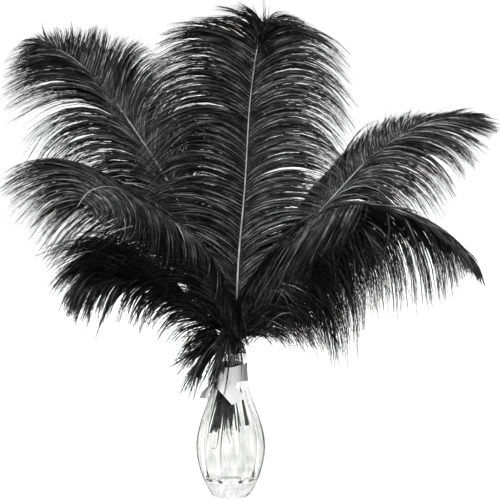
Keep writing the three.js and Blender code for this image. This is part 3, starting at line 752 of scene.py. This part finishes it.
def barbule_mesh(path, normal, strand, total, rng):
    """Fine slivers along both sides of the barbs: as many on each as its length asks for."""
    count, rings = path.shape[:2]
    length = np.linalg.norm(np.diff(path, axis=1), axis=-1).sum(1)
    barb = rng.choice(count, total, p=length / length.sum())
    u = rng.uniform(0.02, 0.99, total)
    spot = u * (rings - 1)
    low = np.minimum(spot.astype(int), rings - 2)
    part = (spot - low)[:, None]
    base = path[barb, low] * (1 - part) + path[barb, low + 1] * part
    way = unit(path[barb, low + 1] - path[barb, low])
    face = normal[barb]
    side = unit(np.cross(way, face))
    spread = np.radians(rng.uniform(*BARBULE_ANGLES_DEG, total) * (1 - 0.4 * u))[:, None]
    roll = rng.normal(0, BARBULE_ROLL, total)[:, None]
    sign = rng.choice([-1.0, 1.0], total)[:, None]
    out = side * sign * np.cos(roll) + unit(face) * np.sin(roll)
    short, full = BARBULE_LENGTH_MM
    reach = short + (full - short) * (1 - smoothstep(u, 0.3, 0.95))
    reach = reach * rng.uniform(0.6, 1.25, total)
    tip = base + (way * np.cos(spread) + out * np.sin(spread)) * reach[:, None]
    half = BARBULE_WIDTH_MM / 2 * (1 - 0.5 * u)[:, None]
    corners = np.stack([base - way * half, base + way * half, tip], axis=1)
    faces = np.arange(total * 3).reshape(-1, 3)
    column = (strand[barb] + rng.normal(0, 0.08, total))[:, None] / LOCKS_ON_MAP
    column = np.clip(column + np.array([0, 0.00005, 0.0001]), 0, 1)
    row = np.clip(u[:, None] + np.array([0, 0.004, 0.01]), 0, 1)
    return corners.reshape(-1, 3), faces, np.stack([column, row], axis=-1).reshape(-1, 2)


def mesh_piece(name, corners_mm, faces, places, material):
    """One mesh from arrays; places is the bake map's spot for each corner."""
    mesh = bpy.data.meshes.new(name)
    sizes = np.concatenate([np.full(len(f), f.shape[1]) for f in faces])
    loops = np.concatenate([f.ravel() for f in faces]).astype(np.int32)
    mesh.vertices.add(len(corners_mm))
    mesh.vertices.foreach_set("co", (corners_mm * MM).astype(np.float32).ravel())
    mesh.loops.add(len(loops))
    mesh.loops.foreach_set("vertex_index", loops)
    mesh.polygons.add(len(sizes))
    starts = np.concatenate([[0], np.cumsum(sizes)[:-1]]).astype(np.int32)
    mesh.polygons.foreach_set("loop_start", starts)
    mesh.update(calc_edges=True)
    bake_map = mesh.uv_layers.new(name="OFBake")
    bake_map.data.foreach_set("uv", places[loops].astype(np.float32).ravel())
    mesh.materials.append(material)
    piece = bpy.data.objects.new(name, mesh)
    bpy.context.scene.collection.objects.link(piece)
    return piece


def barbs_piece(name, plume, material, rng):
    line = smooth_line(plume["quill"] + plume["shaft"])
    groups = [
        barb_paths(line, vane, depth, rng) for vane in plume["vanes"] for depth in LAYER_DEPTHS_MM
    ]
    groups = groups + [tuft_paths(tuft, rng) for tuft in plume["tufts"]]
    path = np.concatenate([g[0] for g in groups])
    normal = np.concatenate([g[1] for g in groups])
    before = np.cumsum([0] + [math.ceil(g[2].max()) for g in groups[:-1]])
    strand = np.concatenate([g[2] + first for g, first in zip(groups, before)])
    strip, quads, strip_places = strip_mesh(path, normal, strand, BARB_WIDTH_MM, rng)
    sliver, tris, sliver_places = barbule_mesh(path, normal, strand, BARBULES_A_FEATHER, rng)
    corners = np.concatenate([strip, sliver])
    faces = [quads, tris + len(strip)]
    places = np.concatenate([strip_places, sliver_places])
    return mesh_piece(name + "_barbs", corners, faces, places, material)


def shaft_piece(name, plume, material):
    """The quill and shaft: one tapering rod."""
    line = smooth_line(plume["quill"] + plume["shaft"])
    t = np.linspace(0, plume["shaft_ends"], SHAFT_RINGS)
    point, _ = along(line, t)
    curve = bpy.data.curves.new(name + "_shaft", "CURVE")
    curve.dimensions = "3D"
    curve.bevel_depth = MM
    curve.bevel_resolution = 2
    curve.use_fill_caps = True
    spline = curve.splines.new("POLY")
    spline.points.add(len(t) - 1)
    for i, spot in enumerate(point):
        thinned = (i / (len(t) - 1)) ** 1.1
        thick = SHAFT_RADIUS_MM + (SHAFT_TIP_RADIUS_MM - SHAFT_RADIUS_MM) * thinned
        spline.points[i].co = (*(spot * MM), 1)
        spline.points[i].radius = thick
    piece = bpy.data.objects.new(name + "_shaft", curve)
    bpy.context.scene.collection.objects.link(piece)
    bpy.ops.object.select_all(action="DESELECT")
    bpy.context.view_layer.objects.active = piece
    piece.select_set(True)
    bpy.ops.object.convert(target="MESH")
    piece = bpy.context.object
    piece.data.materials.clear()
    piece.data.materials.append(material)
    bpy.ops.object.shade_smooth()
    return piece


def make_plumes():
    barbs = barb_material()
    tall = shaft_material("tall_shaft", "Z", 0.175, 0.205)
    curled = shaft_material("curled_shaft", "X", -0.085, -0.11)
    black = shaft_material("black_shaft", "Z", 0.5, 0.6)
    shafts = {
        "feather_lower_left": curled, "feather_lower_right": black, "feather_bottom_left": black,
    }
    for number, (name, plume) in enumerate(PLUMES.items()):
        rng = np.random.default_rng(RNG_SEED + number)
        shaft = shafts.get(name, tall)
        for piece in (shaft_piece(name, plume, shaft), barbs_piece(name, plume, barbs, rng)):
            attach(piece, "root")
            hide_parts(name)


# ---------- vase ----------

# Radius and height in millimetres: up the outside from the middle of the foot, over the lip, and
# down the inside to the middle of the hollow's floor.
OUTSIDE = [
    (16, 1.2), (17.4, 0.2), (18.4, 0.1), (19.4, 0.9), (21.3, 4), (23.1, 7), (24.6, 10), (26.6, 15),
    (28.6, 20.5), (30.2, 26), (31.8, 32), (33.1, 38.5), (33.9, 45), (34, 51.5), (33.2, 58),
    (31.8, 65), (29.8, 73), (27.2, 81), (24.4, 88), (21.6, 95), (19.1, 101.5), (17.1, 107), (15.8, 112.5),
    (15.2, 119), (15, 126), (15, 133), (15.1, 139), (15.1, 141.6), (14.8, 142.7), (14.2, 143),
]
INSIDE = [
    (13.6, 142.8), (13.2, 141.8), (13, 138), (12.9, 130), (13, 121), (13.5, 113.5), (15.3, 106),
    (17.9, 98), (21.3, 89.5), (24.9, 81), (27.4, 74), (29.2, 67), (30.4, 60), (31, 53), (31, 46),
    (30.3, 39), (29.1, 32), (27.5, 26), (25.5, 20.8), (23.4, 17.3), (21.3, 16.1), (17.5, 15.8),
]
FLUTES = 12
COLUMNS_A_FLUTE = 8
OUTSIDE_FLUTE_MM = 0.5
INSIDE_FLUTE_MM = 0.8
SCALLOP_MM = 1.3
FLUTES_FADE_MM = (100, 128)
CAVITY_FLOOR_MM = 15.4
UNDERSIDE_MM = OUTSIDE[0][1] + 0.6
INSETS = (0.72, 0.5, 0.2)
# The edge of the hollow's floor: its vertices lie between these heights and these radii.
FLOOR_EDGE_HEIGHTS_MM = (15.9, 18)
FLOOR_EDGE_RADII_MM = (18, 25)
FOOT_FADE_MM = (0, 9)


def select_ring_columns(mesh, columns, low, high, radius_low, radius_high):
    """Select the vertices of some columns of a flute between two heights and two radii."""
    step = 2 * math.pi / (FLUTES * COLUMNS_A_FLUTE)
    for v in mesh.verts:
        column = round(math.atan2(v.co.y, v.co.x) / step) % COLUMNS_A_FLUTE
        radius = math.hypot(v.co.x, v.co.y)
        in_ring = low < v.co.z < high and radius_low < radius < radius_high
        v.select = column in columns and in_ring
    mesh.select_flush_mode()


def make_vase():
    """A thick wall raised ring by ring from the foot, over the lip and down again, then fluted."""
    rings = OUTSIDE + INSIDE
    bpy.ops.object.select_all(action="DESELECT")
    radius, height = rings[0]
    bpy.ops.mesh.primitive_circle_add(
        vertices=FLUTES * COLUMNS_A_FLUTE, radius=radius * MM, location=(0, 0, 0),
    )
    vase = bpy.context.object
    vase.name = "fluted_vase"
    bpy.ops.object.mode_set(mode="EDIT")
    bpy.ops.mesh.select_all(action="SELECT")
    bpy.ops.transform.translate(value=(0, 0, height * MM))
    for new_radius, new_height in rings[1:]:
        rise = (new_height - height) * MM
        bpy.ops.mesh.extrude_region_move(TRANSFORM_OT_translate={"value": (0, 0, rise)})
        grow = new_radius / radius
        bpy.ops.transform.resize(value=(grow, grow, 1), center_override=(0, 0, new_height * MM))
        radius, height = new_radius, new_height

    # The hollow's floor and the hollow under the foot: insets that end in one flat face each.
    for height, rim in ((CAVITY_FLOOR_MM, INSIDE[-1]), (UNDERSIDE_MM, OUTSIDE[0])):
        mesh = bmesh.from_edit_mesh(vase.data)
        for v in mesh.verts:
            at_radius = abs(math.hypot(v.co.x, v.co.y) - rim[0] * MM) < 1e-5
            v.select = at_radius and abs(v.co.z - rim[1] * MM) < 1e-5
        mesh.select_flush_mode()
        bmesh.update_edit_mesh(vase.data)
        for shrink in INSETS:
            rise = (height - rim[1]) * MM / len(INSETS)
            bpy.ops.mesh.extrude_region_move(TRANSFORM_OT_translate={"value": (0, 0, rise)})
            bpy.ops.transform.resize(value=(shrink, shrink, 1), center_override=(0, 0, 0))
        bpy.ops.mesh.edge_face_add()

    # Flutes: each column is drawn in by its place across the flute, fading out towards the neck.
    fade_low, fade_high = FLUTES_FADE_MM
    for wall, depth in ((OUTSIDE[3:], -OUTSIDE_FLUTE_MM), (INSIDE, INSIDE_FLUTE_MM)):
        for radius, height in wall:
            fade = 1 - smoothstep(height, fade_low, fade_high)
            fade = float(fade * smoothstep(height, *FOOT_FADE_MM))
            if fade == 0:
                continue
            for columns in ((1, 7), (2, 6), (3, 5), (4,)):
                across = 0.5 - 0.5 * math.cos(2 * math.pi * columns[0] / COLUMNS_A_FLUTE)
                mesh = bmesh.from_edit_mesh(vase.data)
                margin = 0.05 * MM
                select_ring_columns(
                    mesh, columns, height * MM - margin, height * MM + margin,
                    radius * MM - margin, radius * MM + margin,
                )
                bmesh.update_edit_mesh(vase.data)
                draw = 1 + depth * across * fade / radius
                bpy.ops.transform.resize(value=(draw, draw, 1), center_override=(0, 0, 0))

    # The edge of the hollow's floor rises in a scallop at each flute.
    for columns in ((0,), (1, 7), (2, 6), (3, 5)):
        lift = 0.5 + 0.5 * math.cos(2 * math.pi * columns[0] / COLUMNS_A_FLUTE)
        mesh = bmesh.from_edit_mesh(vase.data)
        edge = [mm * MM for mm in FLOOR_EDGE_HEIGHTS_MM + FLOOR_EDGE_RADII_MM]
        select_ring_columns(mesh, columns, *edge)
        bmesh.update_edit_mesh(vase.data)
        bpy.ops.transform.translate(value=(0, 0, SCALLOP_MM * lift * MM))
    bpy.ops.mesh.select_all(action="SELECT")
    bpy.ops.mesh.normals_make_consistent(inside=False)
    bpy.ops.object.mode_set(mode="OBJECT")
    smooth = vase.modifiers.new("smooth", "SUBSURF")
    smooth.levels = smooth.render_levels = 1
    bpy.ops.object.modifier_apply(modifier="smooth")
    bpy.ops.object.shade_smooth()
    vase.data.materials.append(glass_material())
    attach(vase, "root")
    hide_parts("vase")


# ---------- ribbon ----------

RIBBON_WIDTH_MM = 16.0
RIBBON_THICKNESS_MM = 0.4
BAND_HEIGHT_MM = 121.0
BAND_RADIUS_MM = 16.3
BAND_LEAN = -0.05
BAND_RISE_MM = 2.0
BAND_RISES_AT = math.radians(-51)
KNOT_ANGLE = math.radians(-120)
KNOT_PLACE = np.array([-10.3, -17.0, 120.0])
# Where the middle of each tail runs from the knot to its cut end, and which way its width lies.
LONG_TAIL = [
    ((-9.2, -18.7, 119.8), (0.66, 0.3, 0.6)),
    ((-6, -19.2, 114.5), (0.72, 0.4, 0.52)),
    ((-0.8, -20.4, 107.9), (0.78, 0.5, 0.4)),
    ((4, -21.6, 102.3), (0.8, 0.52, 0.3)),
    ((8.1, -22.6, 97.5), (0.8, 0.53, 0.27)),
]
SHORT_TAIL = [
    ((-12.2, -17.4, 119.5), (0.3, -0.4, 0.8)),
    ((-17.9, -19, 114), (0.5, -0.6, 0.5)),
    ((-22.7, -20, 107.3), (0.5, -0.8, 0.3)),
    ((-25.9, -19.5, 99.8), (0.45, -0.85, 0.2)),
]
BAND_STEPS = 96
TAIL_STEPS = 24
WIDTH_STEPS = 8
CURL_MM = 0.35
CURL_LENGTH_MM = 9
KNOT_HALF_SIZE_MM = (4.6, 2.7, 6.2)
KNOT_GAP = 0.12


def ribbon_line():
    """The ribbon from one cut end round the neck to the other: middles and width directions."""
    turn = np.linspace(0, 1, BAND_STEPS)
    angle = KNOT_ANGLE - KNOT_GAP - turn * (2 * math.pi - 2 * KNOT_GAP)
    radial = np.stack([np.cos(angle), np.sin(angle), np.zeros(BAND_STEPS)], axis=1)
    slack = 0.3 * np.sin(angle * 3) + 0.15 * np.sin(angle * 7 + 1)
    off_the_rise = (angle - BAND_RISES_AT + math.pi) % (2 * math.pi) - math.pi
    band = radial * (BAND_RADIUS_MM + slack)[:, None]
    band[:, 2] = BAND_HEIGHT_MM + BAND_RISE_MM * np.exp(-((off_the_rise / 0.45) ** 2))
    band_across = radial * BAND_LEAN + UP
    middles, acrosses = [], []
    for tail, reverse in ((SHORT_TAIL, True), (LONG_TAIL, False)):
        middle = smooth_line([spot for spot, _ in tail], TAIL_STEPS)
        share = np.linspace(0, 1, TAIL_STEPS)
        ends = np.linspace(0, 1, len(tail))
        ways = np.array([way for _, way in tail])
        across = np.stack([np.interp(share, ends, ways[:, i]) for i in range(3)], axis=1)
        middles.append(middle[::-1] if reverse else middle)
        acrosses.append(across[::-1] if reverse else across)
    middle = np.concatenate([middles[0], band, middles[1]])
    across = unit(np.concatenate([acrosses[0], band_across, acrosses[1]]))
    # The joins at the knot are eased, where the ribbon turns through it.
    for _ in range(2):
        middle[1:-1] = middle[1:-1] * 0.5 + (middle[:-2] + middle[2:]) * 0.25
        across[1:-1] = unit(across[1:-1] * 0.5 + (across[:-2] + across[2:]) * 0.25)
    return middle, across


def make_ribbon():
    satin = satin_material()
    middle, across = ribbon_line()
    length = np.r_[0, np.cumsum(np.linalg.norm(np.diff(middle, axis=0), axis=1))]
    rows = len(middle)
    side = np.linspace(-0.5, 0.5, WIDTH_STEPS + 1)
    way = unit(np.gradient(middle, axis=0))
    face = unit(np.cross(across, way))
    curl = CURL_MM * np.cos(length / CURL_LENGTH_MM)[:, None] * (1 - 4 * side[None] ** 2)
    corners = middle[:, None] + across[:, None] * side[None, :, None] * RIBBON_WIDTH_MM
    corners = corners + face[:, None] * curl[..., None]
    first = np.arange(rows - 1)[:, None] * (WIDTH_STEPS + 1) + np.arange(WIDTH_STEPS)[None]
    next_row = first + WIDTH_STEPS + 1
    quads = np.stack([first, first + 1, next_row + 1, next_row], axis=-1).reshape(-1, 4)
    share = (length / length[-1])[:, None]
    places = np.stack(np.broadcast_arrays((side + 0.5)[None], share), axis=-1).reshape(-1, 2)
    ribbon = mesh_piece("satin_ribbon", corners.reshape(-1, 3), [quads], places, satin)
    bpy.ops.object.select_all(action="DESELECT")
    bpy.context.view_layer.objects.active = ribbon
    ribbon.select_set(True)
    cloth = ribbon.modifiers.new("cloth", "SOLIDIFY")
    cloth.thickness = RIBBON_THICKNESS_MM * MM
    cloth.offset = 0
    bpy.ops.object.modifier_apply(modifier="cloth")
    bpy.ops.object.shade_smooth_by_angle(angle=math.radians(50))

    bpy.ops.object.select_all(action="DESELECT")
    bpy.ops.mesh.primitive_uv_sphere_add(segments=32, ring_count=20, radius=1)
    knot = bpy.context.object
    knot.name = "ribbon_knot"
    bpy.ops.object.mode_set(mode="EDIT")
    bpy.ops.mesh.select_all(action="SELECT")
    bpy.ops.transform.resize(value=[half * MM for half in KNOT_HALF_SIZE_MM])
    bpy.ops.object.mode_set(mode="OBJECT")
    knot.data.uv_layers[0].name = "OFBake"
    turn = -KNOT_ANGLE - math.pi / 2
    for v in knot.data.vertices:
        x, y, z = v.co
        pinch = 1 + 0.1 * math.sin(z / MM * 2.6 + x / MM) + 0.05 * math.sin(x / MM * 4)
        x, y = x * pinch, y * pinch
        v.co = (
            x * math.cos(turn) + y * math.sin(turn) + KNOT_PLACE[0] * MM,
            y * math.cos(turn) - x * math.sin(turn) + KNOT_PLACE[1] * MM,
            z + KNOT_PLACE[2] * MM,
        )
    bpy.ops.object.shade_smooth()
    knot.data.materials.append(satin)
    for piece in (ribbon, knot):
        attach(piece, "root")
        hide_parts("neck_ribbon")


# ---------- floor and light ----------

SKY_LOW = 0.08
SKY_HIGH = 1.6
FLOOR_SIZE = 60
FLOOR_GLOW = 0.95
BACKDROP = 1.05
GLIMPSE_SCALE = 8.0
GLIMPSE_DARK = 0.95
GLIMPSE_BRIGHT = 1.3
VASE_MIDDLE = (0.0, 0.0, 0.07)


def direct_view(tree, direction, white):
    """How the surroundings show, as (share, tone).

    The share is 1 for rays from the camera, also through glass or glancing off it, and 0 for the
    light that falls on things. The tone is white for rays straight from the camera. For rays bent by
    glass it varies softly round the vase in brighter and darker patches, painted light and shade
    fixed to the room: direction points there from the vase.
    """
    path = add_node(tree, "LightPath").outputs
    through = add_math(tree, "GREATER_THAN", path["Transmission Depth"], 0.5)
    unscattered = add_math(tree, "LESS_THAN", path["Diffuse Depth"], 0.5)
    bent = add_math(tree, "MULTIPLY", through, unscattered)
    onward = add_node(tree, "MapRange", {
        "From Min": 0.75, "From Max": 0.95, "Value": axes_of(tree, direction)["Y"],
    })
    glancing = add_math(tree, "MULTIPLY", onward.outputs["Result"], path["Is Glossy Ray"])
    seen = add_math(tree, "MAXIMUM", path["Is Camera Ray"], bent)
    share = add_math(tree, "MAXIMUM", seen, glancing)

    # Painted light and shade: brighter and darker patches of glow, which rays through glass or glancing
    # off it see in place of plain white.
    patches = add_node(tree, "TexNoise", {"Scale": -GLIMPSE_SCALE, "Detail": 1, "Vector": direction})
    glimpse = add_node(tree, "MapRange", {
        "From Min": 0.35, "From Max": 0.65, "To Min": GLIMPSE_DARK, "To Max": GLIMPSE_BRIGHT,
        "Value": patches.outputs["Fac"],
    })
    tone = add_node(tree, "Mix", {
        "Factor": path["Is Camera Ray"], "A": glimpse.outputs["Result"], "B": white,
    })
    return share, tone.outputs["Result"]


def make_floor():
    """A wide white sweep that shows white and throws little light up from below."""
    bpy.ops.object.select_all(action="DESELECT")
    bpy.ops.mesh.primitive_plane_add(size=FLOOR_SIZE)
    floor = bpy.context.object
    floor.name = "floor"
    material, tree, shader = new_material("pale_floor")
    place = add_node(tree, "TexCoord").outputs["Object"]
    from_vase = add_node(tree, "VectorMath", {0: place, 1: VASE_MIDDLE}, operation="SUBTRACT")
    direction = add_node(tree, "VectorMath", {0: from_vase.outputs["Vector"]}, operation="NORMALIZE")
    share, tone = direct_view(tree, direction.outputs["Vector"], FLOOR_GLOW)
    feed(tree, shader, {
        "Base Color": grey(0.9), "Roughness": 0.9,
        "Emission Color": grey(1), "Emission Strength": tone,
    })
    dim = add_node(tree, "BsdfDiffuse", {"Color": grey(0.12)})
    either = add_node(tree, "MixShader", {
        "Fac": share, 1: dim.outputs["BSDF"], 2: shader.outputs["BSDF"],
    })
    feed(tree, tree.nodes["Material Output"], {"Surface": either.outputs["Shader"]})
    floor.data.materials.append(material)


def make_sky():
    """A studio dome, bright overhead and dark below, in front of a white backdrop."""
    world = bpy.data.worlds.new("studio")
    bpy.context.scene.world = world
    world.use_nodes = True
    tree = world.node_tree
    direction = add_node(tree, "TexCoord").outputs["Generated"]
    height = add_node(tree, "MapRange", {
        "From Min": -0.3, "From Max": 0.9, "To Min": SKY_LOW, "To Max": SKY_HIGH,
        "Value": axes_of(tree, direction)["Z"],
    }, interpolation_type="SMOOTHSTEP")
    dome = tree.nodes["Background"]
    feed(tree, dome, {"Strength": height.outputs["Result"]})
    share, tone = direct_view(tree, direction, BACKDROP)
    backdrop = add_node(tree, "Background", {"Strength": tone})
    either = add_node(tree, "MixShader", {
        "Fac": share, 1: dome.outputs["Background"], 2: backdrop.outputs["Background"],
    })
    feed(tree, tree.nodes["World Output"], {"Surface": either.outputs["Shader"]})


def add_light(name, place, size, power, aim_at=CAMERA_AIM, spread=180):
    light = bpy.data.lights.new(name, "AREA")
    light.size = size
    light.energy = power
    light.spread = math.radians(spread)
    lamp = bpy.data.objects.new(name, light)
    lamp.location = place
    aim = np.array(aim_at) - np.array(place)
    tilt = math.acos(-aim[2] / np.linalg.norm(aim))
    lamp.rotation_euler = (tilt, 0, math.atan2(aim[1], aim[0]) - math.pi / 2)
    bpy.context.scene.collection.objects.link(lamp)


make_camera()
make_plumes()
make_vase()
make_ribbon()
make_floor()
make_sky()
add_light("key_light", (-0.8, -1.3, 2.0), 0.8, 110)
add_light("vase_fill", (0.1, -1.5, 0.25), 0.5, 3)
add_light("ribbon_spot", (0.25, -1.5, 0.1), 0.05, 0.01, (0, 0, 0.11), 6)
bpy.context.scene.view_settings.view_transform = "Standard"
